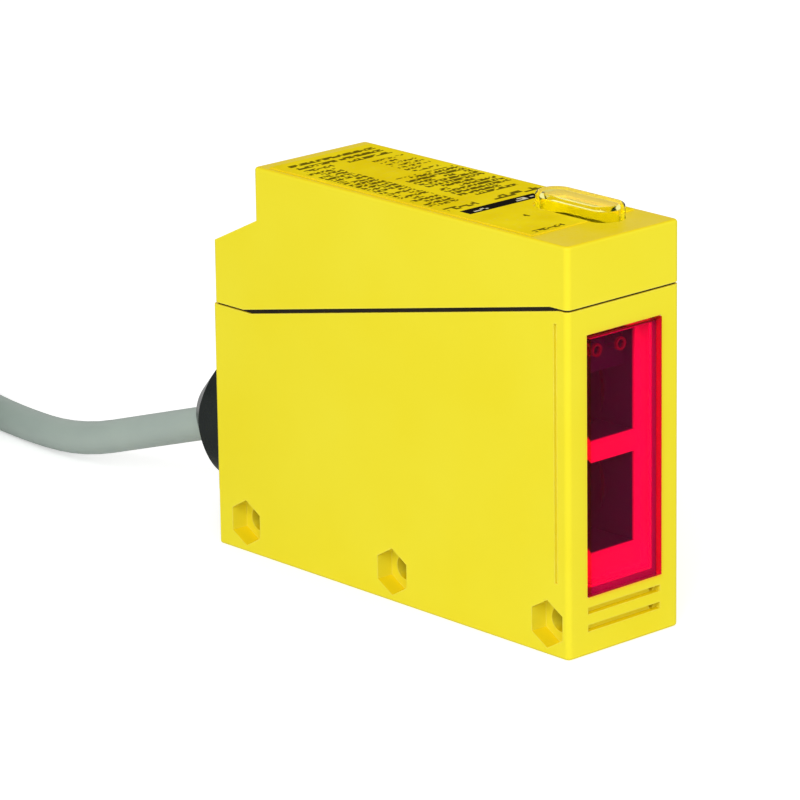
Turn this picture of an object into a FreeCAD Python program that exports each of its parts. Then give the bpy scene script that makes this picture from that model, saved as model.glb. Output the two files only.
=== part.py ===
"""Diffuse photoelectric sensor: a slim yellow block with a red front window and a rear cable.

Frame, in millimetres: the origin is at the centre of the underside of the case, +Z is up,
the window looks along -Y, the cable leaves towards +Y, and the nut pockets open towards -X.
The +X side is the flat side that goes against a bracket.
"""

import FreeCAD, Part
import math
import os

V = FreeCAD.Vector

# Case, overall
case_length = 70.0
case_width = 20.6
case_height = 56.0
side_wall = 1.8
floor_wall = 2.0
front_wall = 3.0
rear_wall = 1.8
front_corner_radius = 0.8
rear_corner_radius = 0.6
edge_radius = 0.45

# Seam between the lower housing and the cover: flat, then sloped, then flat
seam_rear_share = 0.6268
seam_rear_flat = 7.2
seam_front_below_top = 8.55
seam_front_flat = 2.4
gasket_slope_thickness = 0.6
gasket_flat_thickness = 0.3
gasket_inset = 0.3
gasket_width = 1.2

# Cover
cover_wall = 1.6
cover_rear_inset = 0.35
shoulder_below_top = 12.0
step_foot_below_top = 7.7
step_set_back = 9.2
lip_depth = 2.5
lip_wall = 1.0
lip_clearance = 0.1

# Window and its seat
window_width_share = 0.65
window_bottom = 8.1
window_below_top = 12.4
window_thickness = 1.5
window_proud = 0.4
window_clearance = 0.1
window_ledge = 1.0
seal_thickness = 0.3
seal_width = 0.8

# Grooves in the lower housing
front_groove_heights = (3.75, 6.15)
front_groove_tall = 0.9
front_groove_deep = 0.9
front_groove_pip_radius = 0.45
front_groove_pip_inset = 0.8
front_groove_pip_deep = 1.6
side_groove_from_front = 2.25
side_groove_wide = 0.5
side_groove_deep = 0.4
side_groove_bottom = 10.3
side_groove_below_top = 10.5
rear_relief_depth = 0.4
rear_relief_height = 8.0

# Fixing holes: three clearance holes along the lower edge, each with a nut pocket
hole_radius = 1.75
hole_row_from_front = 4.0
hole_row_from_rear = 6.0
hole_height = 4.3
nut_pocket_across_flats = 5.75
nut_pocket_depth = 2.6
hole_boss_radius = 4.6

# Optics
carrier_width_share = 0.7
carrier_depth = 13.0
carrier_below_window_top = 0.2
chamber_side_wall = 2.55
receiver_chamber_shares = (0.1072, 0.4696)
emitter_chamber_shares = (0.5536, 0.8)
carrier_recess_top_share = 0.9565
carrier_recess_deep = 2.2
carrier_post_share = 0.9072
carrier_post_radius = 0.9
carrier_post_bore_radius = 0.6
carrier_post_spacing = 4.4
carrier_pad_clearance = 0.05
carrier_pad_below_lip = 4.0
lens_set_back = 4.0
lens_thickness = 3.2
lens_curve_radius = 8.0
lens_clearance = 0.1
emitter_led_radius = 1.5
emitter_led_length = 3.4
photodiode_size = 4.2
photodiode_thickness = 1.2

# Boards and what stands on them
board_thickness = 1.2
main_board_wall_gap = 1.9
main_board_front_gap = 2.5
main_board_rear_gap = 5.0
main_board_bottom = 10.0
main_board_top_share = 0.6071
board_screw_inset = 4.0
board_screw_length = 3.2
board_screw_radius = 1.0
board_screw_head_radius = 1.9
board_screw_head_height = 1.2
board_post_radius = 2.2
board_screw_hole_depth = 2.5
screw_clearance = 0.05
chip_size = 10.0
chip_thickness = 1.6
chip_spot = (0.362, 0.625)
regulator_length = 6.5
regulator_height = 5.0
regulator_thickness = 1.5
regulator_spot = (0.316, 0.1875)
capacitor_radius = 3.0
capacitor_length = 6.0
capacitor_spot = (0.6034, 0.2)
connector_width_share = 0.225
connector_length = 6.0
connector_height = 12.5
connector_from_rear = 13.25
connector_bottom_share = 0.3333
link_thickness = 0.4
optics_link_height = 8.0
board_link_length = 12.0
board_link_screw_gap = 0.9

# Indicators under the cover
indicator_board_width_share = 0.68
indicator_board_rear_gap = 0.8
indicator_board_from_front = 4.2
indicator_board_below_top = 8.1
indicator_screw_from_side = 2.6
indicator_screw_from_front = 3.6
indicator_screw_from_rear = 13.0
indicator_screw_length = 4.4
indicator_screw_hole_depth = 3.6
indicator_led_radius = 1.35
indicator_led_length = 5.6
dome_width_share = 0.265
dome_length = 14.5
dome_height = 2.05
dome_wall = 0.8
dome_off_centre_share = 0.1875
dome_from_front = 11.95
dome_flange = 0.8
dome_flange_thickness = 0.8
dome_edge_radius = 0.5
dome_clearance = 0.1
led_spacing = 6.6

# Sensitivity adjuster in the wall of the rear step
adjuster_below_top = 4.4
adjuster_head_radius = 2.3
adjuster_head_length = 2.4
adjuster_recess = 0.3
adjuster_slot_wide = 0.6
adjuster_slot_deep = 0.9
adjuster_groove_set_back = 1.55
adjuster_shaft_radius = 1.2
adjuster_bore_clearance = 0.06
adjuster_sleeve_wall = 1.2
adjuster_sleeve_length = 2.4
o_ring_section_radius = 0.45
rotor_radius = 1.9
rotor_length = 2.4
rotor_clearance = 0.08
potentiometer_width_share = 0.48
potentiometer_length = 7.0
potentiometer_gap = 1.3

# Strain relief and cable
cable_radius = 2.45
cable_tilt_deg = 17.5
cable_below_spigot = 0.8
gland_centre_below_spigot = 1.6
gland_half_width = 8.2
gland_half_height = 8.4
gland_corner_radius = 5.0
gland_cone_length = 10.7
gland_cone_small_radius = 4.9
gland_cone_growth = 0.75
gland_cone_tilt_deg = 5.0
gland_nose_radius = 4.0
gland_nose_length = 1.1
gland_spigot_length = 5.6
gland_bore_clearance = 0.05
locknut_side_gap = 1.5
locknut_ring_width = 2.0
locknut_above_boss = 1.7
locknut_thickness = 2.6
inner_cable_reach = 6.0
wire_radius = 0.55
wire_circle_radius = 1.4
wire_spread = 3.0
wire_straight_end = 2.0
wire_colours = ("brown", "white", "blue", "black", "grey")

# Free cable: the route on the floor, then a tied hank of put-away length, then the bare end
cable_route = [
    (0.0, 78.5, 3.1),
    (1.2, 95.0, 2.45),
    (3.6, 109.0, 2.55),
    (5.0, 122.0, 3.05),
]
hank_middle_x = -14.6
hank_near_y = 118.0
hank_straight_length = 60.0
hank_outer_turn_radius = 19.6
hank_turns_across = 2
hank_layers = 4
hank_edge_radius = 2.0
tie_thickness = 0.6
tie_width = 5.0
tie_from_near_end = 16.0
tie_head_length = 6.0
tie_head_height = 2.4
tie_head_edge_radius = 0.5
end_sweep_deg = 165.0
lead_radius = 0.7
lead_tip_radius = 0.4
lead_tip_length = 5.0
lead_spread_near = 2.05
lead_spread_far = 2.1
lead_straight_start = 4.0
lead_reach = 27.0
lead_step = 1.2

# Label on top
label_thickness = 0.15
label_margin_side = 1.0
label_rear_margin = 2.3
label_front_from_front = 7.4
label_dome_gap = 0.35

# Places worked out from the values above
front_y = -case_length / 2
rear_y = case_length / 2
side_x = case_width / 2
inner_x = side_x - side_wall
seam_rear_height = seam_rear_share * case_height
seam_front_height = case_height - seam_front_below_top
shoulder_height = case_height - shoulder_below_top
step_foot_height = case_height - step_foot_below_top
window_top = case_height - window_below_top
side_groove_top = case_height - side_groove_below_top
adjuster_height = case_height - adjuster_below_top
indicator_board_underside = case_height - indicator_board_below_top
main_board_top = main_board_top_share * case_height
carrier_width = carrier_width_share * case_width
chamber_width = carrier_width - 2 * chamber_side_wall
indicator_board_width = indicator_board_width_share * case_width
potentiometer_width = potentiometer_width_share * case_width
dome_width = dome_width_share * case_width
connector_width = connector_width_share * case_width
dome_off_centre = dome_off_centre_share * case_width
main_board_from_centre = inner_x - main_board_wall_gap - board_thickness
inner_front_y = front_y + front_wall
inner_rear_y = rear_y - rear_wall
step_y = rear_y - step_set_back
seam_bend_rear_y = rear_y - seam_rear_flat
seam_bend_front_y = front_y + seam_front_flat
seam_slope = (seam_front_height - seam_rear_height) / (seam_bend_rear_y - seam_bend_front_y)
hole_spacing = (case_length - hole_row_from_front - hole_row_from_rear) / 2
hole_centres_y = [front_y + hole_row_from_front + i * hole_spacing for i in range(3)]
window_half = window_width_share * case_width / 2
window_front_y = front_y - window_proud
window_back_y = window_front_y + window_thickness
seat_y = window_back_y + seal_thickness
carrier_front_y = inner_front_y
carrier_back_y = carrier_front_y + carrier_depth
carrier_bottom = hole_height + hole_boss_radius
carrier_top = window_top - carrier_below_window_top


def carrier_level(share):
    """The height that is this share of the way up the optics carrier."""
    return carrier_bottom + share * (carrier_top - carrier_bottom)


receiver_chamber_bottom, receiver_chamber_top = [carrier_level(s) for s in receiver_chamber_shares]
emitter_chamber_bottom, emitter_chamber_top = [carrier_level(s) for s in emitter_chamber_shares]
carrier_recess_top = carrier_level(carrier_recess_top_share)
carrier_post_height = carrier_level(carrier_post_share)
optics_board_back_y = carrier_back_y + board_thickness
receiver_axis_z = (receiver_chamber_bottom + receiver_chamber_top) / 2
emitter_axis_z = (emitter_chamber_bottom + emitter_chamber_top) / 2
main_board_front_y = optics_board_back_y + main_board_front_gap
main_board_rear_y = inner_rear_y - main_board_rear_gap
main_board_length = main_board_rear_y - main_board_front_y
main_board_near_x = -main_board_from_centre - board_thickness
indicator_board_top = indicator_board_underside + board_thickness
indicator_board_front_y = front_y + indicator_board_from_front
sleeve_front_y = step_y - cover_wall - adjuster_sleeve_length
indicator_board_rear_y = sleeve_front_y - indicator_board_rear_gap
potentiometer_height = 2 * (adjuster_height - indicator_board_top)
dome_centre_y = front_y + dome_from_front
cable_tilt = math.radians(cable_tilt_deg)
cable_direction = V(0, math.cos(cable_tilt), -math.sin(cable_tilt))
locknut_radius = inner_x - locknut_side_gap
gland_spigot_radius = locknut_radius - locknut_ring_width
gland_spigot_height = carrier_bottom + locknut_above_boss + locknut_radius
gland_centre_height = gland_spigot_height - gland_centre_below_spigot
cable_at_wall = V(0, rear_y, gland_spigot_height - cable_below_spigot)
cable_exit = cable_at_wall + cable_direction * (gland_cone_length + gland_nose_length)
hank_top = tie_thickness + 2 * cable_radius * hank_layers
hank_far_y = hank_near_y + hank_straight_length
hank_outer_radius = hank_outer_turn_radius + cable_radius
hank_inner_radius = hank_outer_radius - 2 * cable_radius * hank_turns_across
hank_bundle_radius = (hank_outer_radius + hank_inner_radius) / 2
adjuster_face_y = step_y - adjuster_recess
far = 200.0


def box(low, high):
    """A block between two opposite corners."""
    size = [h - l for l, h in zip(low, high)]
    return Part.makeBox(*size, V(*low))


def rod(start, direction, radius, length):
    """A round bar from a point along a direction."""
    return Part.makeCylinder(radius, length, V(*start), V(*direction))


def prism_along_x(outline, x_low, x_high):
    """A (y, z) outline carried from one x to another."""
    points = [V(x_low, y, z) for y, z in outline]
    face = Part.Face(Part.makePolygon(points + points[:1]))
    return face.extrude(V(x_high - x_low, 0, 0))


def fuse(first, *others):
    """One solid out of several that touch."""
    return first.fuse(list(others)).removeSplitter() if others else first


def seam_line(offset):
    """The seam's three runs as a (y, z) line, lifted by its half thickness on flats and slope."""
    flat = math.copysign(gasket_flat_thickness / 2, offset) if offset else 0.0
    slope_angle = math.atan(seam_slope)
    slope = math.copysign(gasket_slope_thickness / 2, offset) / math.cos(slope_angle) if offset else 0.0
    rear_z = seam_rear_height + flat
    front_z = seam_front_height + flat
    bend_rear = seam_bend_rear_y - (flat - slope) / seam_slope
    bend_front = seam_bend_front_y - (flat - slope) / seam_slope
    return [(far, rear_z), (bend_rear, rear_z), (bend_front, front_z), (-far, front_z)]


def below_seam(offset=0.0, drop=0.0):
    """Everything under the seam, to cut a shape with."""
    line = [(y, z - drop) for y, z in seam_line(offset)]
    return prism_along_x(line + [(-far, -far), (far, -far)], -far, far)


def vertical_edges(shape, reach_x, y_place, radius):
    """Rounds the upright edges of a shape at both sides of one of its ends."""
    chosen = []
    for edge in shape.Edges:
        a, b = edge.Vertexes[0].Point, edge.Vertexes[-1].Point
        upright = abs(a.x - b.x) < 1e-6 and abs(a.y - b.y) < 1e-6
        if upright and abs(a.y - y_place) < 1e-6 and abs(abs(a.x) - reach_x) < 1e-6:
            chosen.append(edge)
    return shape.makeFillet(radius, chosen)


def round_level_edges(shape, height, radius):
    """Rounds the outer edges that lie level at one height."""
    chosen = []
    for edge in shape.Edges:
        low, high = edge.BoundBox.ZMin, edge.BoundBox.ZMax
        if abs(low - height) < 1e-6 and abs(high - height) < 1e-6:
            chosen.append(edge)
    return shape.makeFillet(radius, chosen)


def lower_envelope():
    """The outer shape of the lower housing, before it is hollowed."""
    block = box((-side_x, front_y, 0), (side_x, rear_y, case_height))
    block = vertical_edges(block, side_x, front_y, front_corner_radius)
    block = vertical_edges(block, side_x, rear_y, rear_corner_radius)
    block = round_level_edges(block, 0.0, edge_radius)
    block = block.common(below_seam(-1))
    relief = box((-far, rear_y - rear_relief_depth, -far), (far, far, rear_relief_height))
    return block.cut(relief)


def hexagon_bar(centre_y, centre_z, across_flats, x_low, x_high):
    """A hexagonal bar along X with a corner at the top."""
    reach = across_flats / math.sqrt(3)
    corners = [(centre_y + reach * math.sin(math.radians(60 * i)),
                centre_z + reach * math.cos(math.radians(60 * i))) for i in range(6)]
    return prism_along_x(corners, x_low, x_high)


def lower_housing():
    """The lower case: open at the top, with the window seat, bosses, nut pockets and grooves."""
    envelope = lower_envelope()
    cavity = box((-inner_x, inner_front_y, floor_wall), (inner_x, inner_rear_y, far))
    shell = envelope.cut(cavity)
    bosses = [rod((-side_x, y, hole_height), (1, 0, 0), hole_boss_radius, case_width).common(envelope)
              for y in hole_centres_y]
    pad_reach = carrier_width / 2 + carrier_pad_clearance
    pad_top = carrier_top - lip_depth - carrier_pad_below_lip
    pads = [box((min(s * pad_reach, s * inner_x), inner_front_y, floor_wall),
                (max(s * pad_reach, s * inner_x), carrier_back_y, pad_top)) for s in (-1, 1)]
    posts = [rod((-inner_x - 0.2, y, z), (1, 0, 0), board_post_radius, inner_x + 0.2 + main_board_near_x)
             for y, z in board_screw_places()]
    shell = fuse(shell, *bosses, *pads, *posts)
    rebate_reach = window_half + window_clearance
    rebate = box((-rebate_reach, -far, window_bottom - window_clearance),
                 (rebate_reach, seat_y, window_top + window_clearance))
    opening_reach = window_half - window_ledge
    opening = box((-opening_reach, -far, window_bottom + window_ledge),
                  (opening_reach, inner_front_y, window_top - window_ledge))
    cuts = [rebate, opening]
    for z in front_groove_heights:
        cuts.append(box((-window_half, -far, z - front_groove_tall / 2),
                        (window_half, front_y + front_groove_deep, z + front_groove_tall / 2)))
        cuts.append(rod((window_half - front_groove_pip_inset, front_y, z), (0, 1, 0),
                        front_groove_pip_radius, front_groove_pip_deep))
    groove_y = front_y + side_groove_from_front
    for s in (-1, 1):
        inside = s * (side_x - side_groove_deep)
        cuts.append(box((min(inside, s * far), groove_y - side_groove_wide / 2, side_groove_bottom),
                        (max(inside, s * far), groove_y + side_groove_wide / 2, side_groove_top)))
    for y in hole_centres_y:
        cuts.append(rod((-far, y, hole_height), (1, 0, 0), hole_radius, 2 * far))
        cuts.append(hexagon_bar(y, hole_height, nut_pocket_across_flats, -far,
                                -side_x + nut_pocket_depth))
    for y, z in board_screw_places():
        cuts.append(rod((main_board_near_x, y, z), (-1, 0, 0), board_screw_radius + screw_clearance,
                        board_screw_hole_depth))
    cuts.append(rod((0, inner_rear_y - 1, gland_spigot_height), (0, 1, 0),
                    gland_spigot_radius + gland_bore_clearance, far))
    return shell.cut(cuts)


def board_screw_places():
    """(y, z) of the two screws that hold the main board."""
    return [(main_board_front_y + board_screw_inset, main_board_top - board_screw_inset),
            (main_board_rear_y - board_screw_inset, main_board_bottom + board_screw_inset)]


def indicator_screw_places():
    """(x, y) of the two screws that hold the indicator board under the cover."""
    x = -indicator_board_width / 2 + indicator_screw_from_side
    return [(x, indicator_board_front_y + indicator_screw_from_front),
            (x, indicator_board_rear_y - indicator_screw_from_rear)]


def obround(half_width, half_length, z_low, z_high):
    """An upright bar with two round ends, long in Y, at the dome's place."""
    straight = half_length - half_width
    middle = box((dome_off_centre - half_width, dome_centre_y - straight, z_low),
                 (dome_off_centre + half_width, dome_centre_y + straight, z_high))
    ends = [rod((dome_off_centre, dome_centre_y + s * straight, z_low), (0, 0, 1), half_width,
                z_high - z_low) for s in (-1, 1)]
    return fuse(middle, *ends)


def cover_outline(shrink, top):
    """The cover's side outline, with every outer face drawn in by shrink."""
    rise = (step_foot_height - shoulder_height) / (step_y - (rear_y - cover_rear_inset))
    back_y = rear_y - cover_rear_inset - shrink
    drop = shrink * math.sqrt(1 + rise * rise)
    shoulder_z = shoulder_height - drop + rise * (back_y - (rear_y - cover_rear_inset))
    foot_y = step_y - shrink
    foot_z = shoulder_height - drop + rise * (foot_y - (rear_y - cover_rear_inset))
    return [(front_y + shrink, 0.0), (front_y + shrink, top), (foot_y, top), (foot_y, foot_z),
            (back_y, shoulder_z), (back_y, 0.0)]


def upper_cover():
    """The cover: a shell with a rear step, a lip inside the lower housing, posts and the dome's slot."""
    block = prism_along_x(cover_outline(0.0, case_height), -side_x, side_x)
    block = vertical_edges(block, side_x, front_y, front_corner_radius)
    block = vertical_edges(block, side_x, rear_y - cover_rear_inset, rear_corner_radius)
    block = vertical_edges(block, side_x, step_y, rear_corner_radius)
    block = round_level_edges(block, case_height, edge_radius)
    hollow_x = side_x - cover_wall
    hollow = prism_along_x(cover_outline(cover_wall, case_height - cover_wall), -hollow_x, hollow_x)
    shell = block.cut(hollow).cut(below_seam(1))
    lip_x = inner_x - lip_clearance
    lip_front = inner_front_y + lip_clearance
    lip_rear = inner_rear_y - lip_clearance
    lip = box((-lip_x, lip_front, 0), (lip_x, lip_rear, far))
    lip = lip.cut(box((-lip_x + lip_wall, lip_front + lip_wall, -1),
                      (lip_x - lip_wall, lip_rear - lip_wall, far)))
    lip_top = below_seam(1, -lip_wall - 0.8)
    lip = lip.common(lip_top).cut(below_seam(-1, lip_depth))
    posts = [rod((x, y, indicator_board_top), (0, 0, 1), board_post_radius,
                 case_height - cover_wall + 0.2 - indicator_board_top) for x, y in indicator_screw_places()]
    sleeve = rod((0, sleeve_front_y, adjuster_height), (0, 1, 0),
                 adjuster_head_radius + adjuster_bore_clearance + adjuster_sleeve_wall,
                 adjuster_sleeve_length + 0.2)
    sleeve = sleeve.common(box((-far, -far, -far), (far, far, case_height - 0.2)))
    shell = fuse(shell, lip, *posts, sleeve)
    cuts = [obround(dome_width / 2 + dome_clearance, dome_length / 2 + dome_clearance,
                    case_height - cover_wall - 1, far)]
    for x, y in indicator_screw_places():
        cuts.append(rod((x, y, indicator_board_top), (0, 0, 1), board_screw_radius + screw_clearance,
                        indicator_screw_hole_depth))
    cuts.append(rod((0, sleeve_front_y - 1, adjuster_height), (0, 1, 0),
                    adjuster_head_radius + adjuster_bore_clearance, far))
    return shell.cut(cuts)


def seam_gasket():
    """The black gasket in the seam, a closed band of the case's own outline."""
    reach_x = side_x - gasket_inset
    front = front_y + gasket_inset
    rear = rear_y - cover_rear_inset - gasket_inset
    block = box((-reach_x, front, 0), (reach_x, rear, case_height))
    block = vertical_edges(block, reach_x, front, front_corner_radius - gasket_inset)
    block = vertical_edges(block, reach_x, rear, rear_corner_radius - gasket_inset)
    inside = box((-reach_x + gasket_width, front + gasket_width, -1),
                 (reach_x - gasket_width, rear - gasket_width, far))
    return block.cut(inside).common(below_seam(1)).cut(below_seam(-1))


def front_window():
    """The red window, a flat plate with softened front edges."""
    plate = box((-window_half, window_front_y, window_bottom), (window_half, window_back_y, window_top))
    front_edges = [e for e in plate.Edges if abs(e.BoundBox.YMin - window_front_y) < 1e-6
                   and abs(e.BoundBox.YMax - window_front_y) < 1e-6]
    return plate.makeFillet(window_proud / 2, front_edges)


def window_seal():
    """The thin frame that seals the window to its ledge."""
    frame = box((-window_half, window_back_y, window_bottom), (window_half, seat_y, window_top))
    hole = box((-window_half + seal_width, -far, window_bottom + seal_width),
               (window_half - seal_width, far, window_top - seal_width))
    return frame.cut(hole)


def chamber(bottom, top):
    """One of the two optical chambers, right through the carrier."""
    return box((-chamber_width / 2, -far, bottom), (chamber_width / 2, far, top))


def optics_carrier():
    """The carrier: two chambers, and above them a shallow recess with two hollow posts."""
    half = carrier_width / 2
    body = box((-half, carrier_front_y, carrier_bottom), (half, carrier_back_y, carrier_top))
    recess = box((-chamber_width / 2, -far, emitter_chamber_top),
                 (chamber_width / 2, carrier_front_y + carrier_recess_deep, carrier_recess_top))
    body = body.cut([chamber(receiver_chamber_bottom, receiver_chamber_top),
                     chamber(emitter_chamber_bottom, emitter_chamber_top), recess])
    places = [(s * carrier_post_spacing / 2, carrier_front_y, carrier_post_height) for s in (-1, 1)]
    posts = [rod(place, (0, 1, 0), carrier_post_radius, carrier_recess_deep + 0.2) for place in places]
    bores = [rod(place, (0, 1, 0), carrier_post_bore_radius, carrier_recess_deep) for place in places]
    return fuse(body, *posts).cut(bores)


def lens(bottom, top):
    """A block lens cut from a sphere, curved at the front and flat at the back."""
    front = carrier_front_y + lens_set_back
    half = chamber_width / 2 - lens_clearance
    block = box((-half, front, bottom + lens_clearance),
                (half, front + lens_thickness, top - lens_clearance))
    ball = Part.makeSphere(lens_curve_radius, V(0, front + lens_curve_radius, (bottom + top) / 2))
    return block.common(ball)


def optics_board():
    """The board behind the carrier, with the emitter and the receiver on it."""
    half = carrier_width / 2
    return box((-half, carrier_back_y, carrier_bottom + 0.5),
               (half, optics_board_back_y, carrier_top - 1.4))


def emitter_led():
    """The emitter: a small round body with a domed front."""
    straight = emitter_led_length - emitter_led_radius
    body = rod((0, carrier_back_y, emitter_axis_z), (0, -1, 0), emitter_led_radius, straight)
    dome = Part.makeSphere(emitter_led_radius, V(0, carrier_back_y - straight, emitter_axis_z))
    return fuse(body, dome)


def receiver_photodiode():
    """The receiver: a square package on the board."""
    half = photodiode_size / 2
    return box((-half, carrier_back_y - photodiode_thickness, receiver_axis_z - half),
               (half, carrier_back_y, receiver_axis_z + half))


def main_board():
    """The main board, upright beside the near wall."""
    board = box((main_board_near_x, main_board_front_y, main_board_bottom),
                (-main_board_from_centre, main_board_rear_y, main_board_top))
    holes = [rod((main_board_near_x - 1, y, z), (1, 0, 0), board_screw_radius + screw_clearance, 4)
             for y, z in board_screw_places()]
    return board.cut(holes)


def on_main_board(y, z, length, height, thickness):
    """A block that stands on the free face of the main board."""
    return box((-main_board_from_centre, y - length / 2, z - height / 2),
               (-main_board_from_centre + thickness, y + length / 2, z + height / 2))


def board_spot(share_along, share_up):
    """(y, z) on the main board, as shares of its length from the front and of its height."""
    return (main_board_front_y + share_along * main_board_length,
            main_board_bottom + share_up * (main_board_top - main_board_bottom))


def control_chip():
    """The large chip near the middle of the main board."""
    return on_main_board(*board_spot(*chip_spot), chip_size, chip_size, chip_thickness)


def regulator_chip():
    """The voltage regulator low on the main board."""
    return on_main_board(*board_spot(*regulator_spot), regulator_length, regulator_height,
                         regulator_thickness)


def capacitor():
    """The round can that stands out from the main board."""
    y, z = board_spot(*capacitor_spot)
    return rod((-main_board_from_centre, y, z), (1, 0, 0), capacitor_radius, capacitor_length)


def connector_box():
    """Low and high corner of the wire connector on the main board."""
    _, z = board_spot(0, connector_bottom_share)
    low = (-main_board_from_centre, main_board_rear_y - connector_from_rear, z)
    return low, (low[0] + connector_width, low[1] + connector_length, low[2] + connector_height)


def board_connector():
    """The connector that the cable's wires plug into."""
    return box(*connector_box())


def screw(head_seat, direction, length):
    """A pan-head screw: the head stands on the seat, the shank goes the way of the direction."""
    back = [-d for d in direction]
    head = rod(head_seat, back, board_screw_head_radius, board_screw_head_height)
    shank = rod(head_seat, direction, board_screw_radius, length)
    return fuse(head, shank)


def board_screws():
    """The two screws through the main board, as separate solids."""
    return Part.Compound([screw((-main_board_from_centre, y, z), (-1, 0, 0), board_screw_length)
                          for y, z in board_screw_places()])


def indicator_board_screws():
    """The two screws up through the indicator board, as separate solids."""
    return Part.Compound([screw((x, y, indicator_board_underside), (0, 0, 1), indicator_screw_length)
                          for x, y in indicator_screw_places()])


def optics_link():
    """The link from the optics board back to the main board."""
    z = (main_board_bottom + main_board_top) / 2
    middle_x = -main_board_from_centre - board_thickness / 2
    return box((middle_x - link_thickness / 2, optics_board_back_y, z - optics_link_height / 2),
               (middle_x + link_thickness / 2, main_board_front_y, z + optics_link_height / 2))


def board_link():
    """The link from the main board up to the indicator board."""
    rear_screw_y = indicator_screw_places()[1][1]
    y_high = rear_screw_y - board_screw_head_radius - board_link_screw_gap
    middle_x = -main_board_from_centre - board_thickness / 2
    return box((middle_x - link_thickness / 2, y_high - board_link_length, main_board_top),
               (middle_x + link_thickness / 2, y_high, indicator_board_underside))


def indicator_board():
    """The level board under the cover, with both indicator lamps and the potentiometer."""
    half = indicator_board_width / 2
    board = box((-half, indicator_board_front_y, indicator_board_underside),
                (half, indicator_board_rear_y, indicator_board_top))
    holes = [rod((x, y, indicator_board_underside - 1), (0, 0, 1), board_screw_radius + screw_clearance, 4)
             for x, y in indicator_screw_places()]
    return board.cut(holes)


def indicator_led(side):
    """A round lamp with a domed top, on the indicator board under the clear dome."""
    y = dome_centre_y + side * led_spacing / 2
    straight = indicator_led_length - indicator_led_radius
    body = rod((dome_off_centre, y, indicator_board_top), (0, 0, 1), indicator_led_radius, straight)
    top = Part.makeSphere(indicator_led_radius, V(dome_off_centre, y, indicator_board_top + straight))
    return fuse(body, top)


def indicator_dome():
    """The clear dome: a hollow oval cap with a flange that holds it under the cover."""
    top = case_height + dome_height
    flange_top = case_height - cover_wall
    cap = obround(dome_width / 2, dome_length / 2, flange_top - dome_flange_thickness, top)
    cap = round_level_edges(cap, top, dome_edge_radius)
    flange = obround(dome_width / 2 + dome_flange, dome_length / 2 + dome_flange,
                     flange_top - dome_flange_thickness, flange_top)
    hollow = obround(dome_width / 2 - dome_wall, dome_length / 2 - dome_wall,
                     flange_top - dome_flange_thickness - 1, top - dome_wall)
    return fuse(cap, flange).cut(hollow)


def adjuster_screw():
    """The slotted brass adjuster: a head with an O-ring groove, and a shaft into the potentiometer."""
    face = (0, adjuster_face_y, adjuster_height)
    head = rod(face, (0, -1, 0), adjuster_head_radius, adjuster_head_length)
    shaft = rod(face, (0, -1, 0), adjuster_shaft_radius, adjuster_face_y - rotor_front_y())
    slot = box((-far, adjuster_face_y - adjuster_slot_deep, adjuster_height - adjuster_slot_wide / 2),
               (far, far, adjuster_height + adjuster_slot_wide / 2))
    groove_start = (0, adjuster_face_y - adjuster_groove_set_back - o_ring_section_radius, adjuster_height)
    groove = rod(groove_start, (0, 1, 0), far, 2 * o_ring_section_radius)
    core_radius = o_ring_ring_radius() - o_ring_section_radius
    core = rod(groove_start, (0, 1, 0), core_radius, 2 * o_ring_section_radius)
    return fuse(head, shaft).cut([slot, groove.cut(core)])


def o_ring_ring_radius():
    """The radius of the O-ring's own centre line."""
    return adjuster_head_radius - o_ring_section_radius


def adjuster_o_ring():
    """The O-ring in the adjuster's groove."""
    groove_y = adjuster_face_y - adjuster_groove_set_back
    return Part.makeTorus(o_ring_ring_radius(), o_ring_section_radius - 0.02,
                          V(0, groove_y, adjuster_height), V(0, 1, 0))


def potentiometer_rear_y():
    """The rear face of the potentiometer, a named gap in front of the cover's sleeve."""
    return sleeve_front_y - potentiometer_gap


def rotor_front_y():
    """Where the rotor starts, half way into the potentiometer."""
    return potentiometer_rear_y() - potentiometer_length / 2


def potentiometer_rotor():
    """The rotor that the adjuster's shaft turns."""
    return rod((0, rotor_front_y(), adjuster_height), (0, -1, 0), rotor_radius, rotor_length)


def potentiometer_body():
    """The potentiometer: a block on the indicator board, bored for the shaft and the rotor."""
    half = potentiometer_width / 2
    rear = potentiometer_rear_y()
    block = box((-half, rear - potentiometer_length, indicator_board_top),
                (half, rear, indicator_board_top + potentiometer_height))
    bore = rod((0, rear - potentiometer_length / 2 - 1, adjuster_height), (0, 1, 0),
               adjuster_shaft_radius + adjuster_bore_clearance, far)
    chamber_for_rotor = rod((0, rotor_front_y() + rotor_clearance, adjuster_height), (0, -1, 0),
                            rotor_radius + rotor_clearance, rotor_length + 2 * rotor_clearance)
    return block.cut([bore, chamber_for_rotor])


def rounded_block_along_y(half_x, half_z, corner, centre_z, y_low, y_high):
    """A bar along Y with a rounded rectangular section."""
    block = box((-half_x, y_low, centre_z - half_z), (half_x, y_high, centre_z + half_z))
    long_edges = [e for e in block.Edges if e.BoundBox.YLength > (y_high - y_low) * 0.99]
    return block.makeFillet(corner, long_edges)


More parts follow.
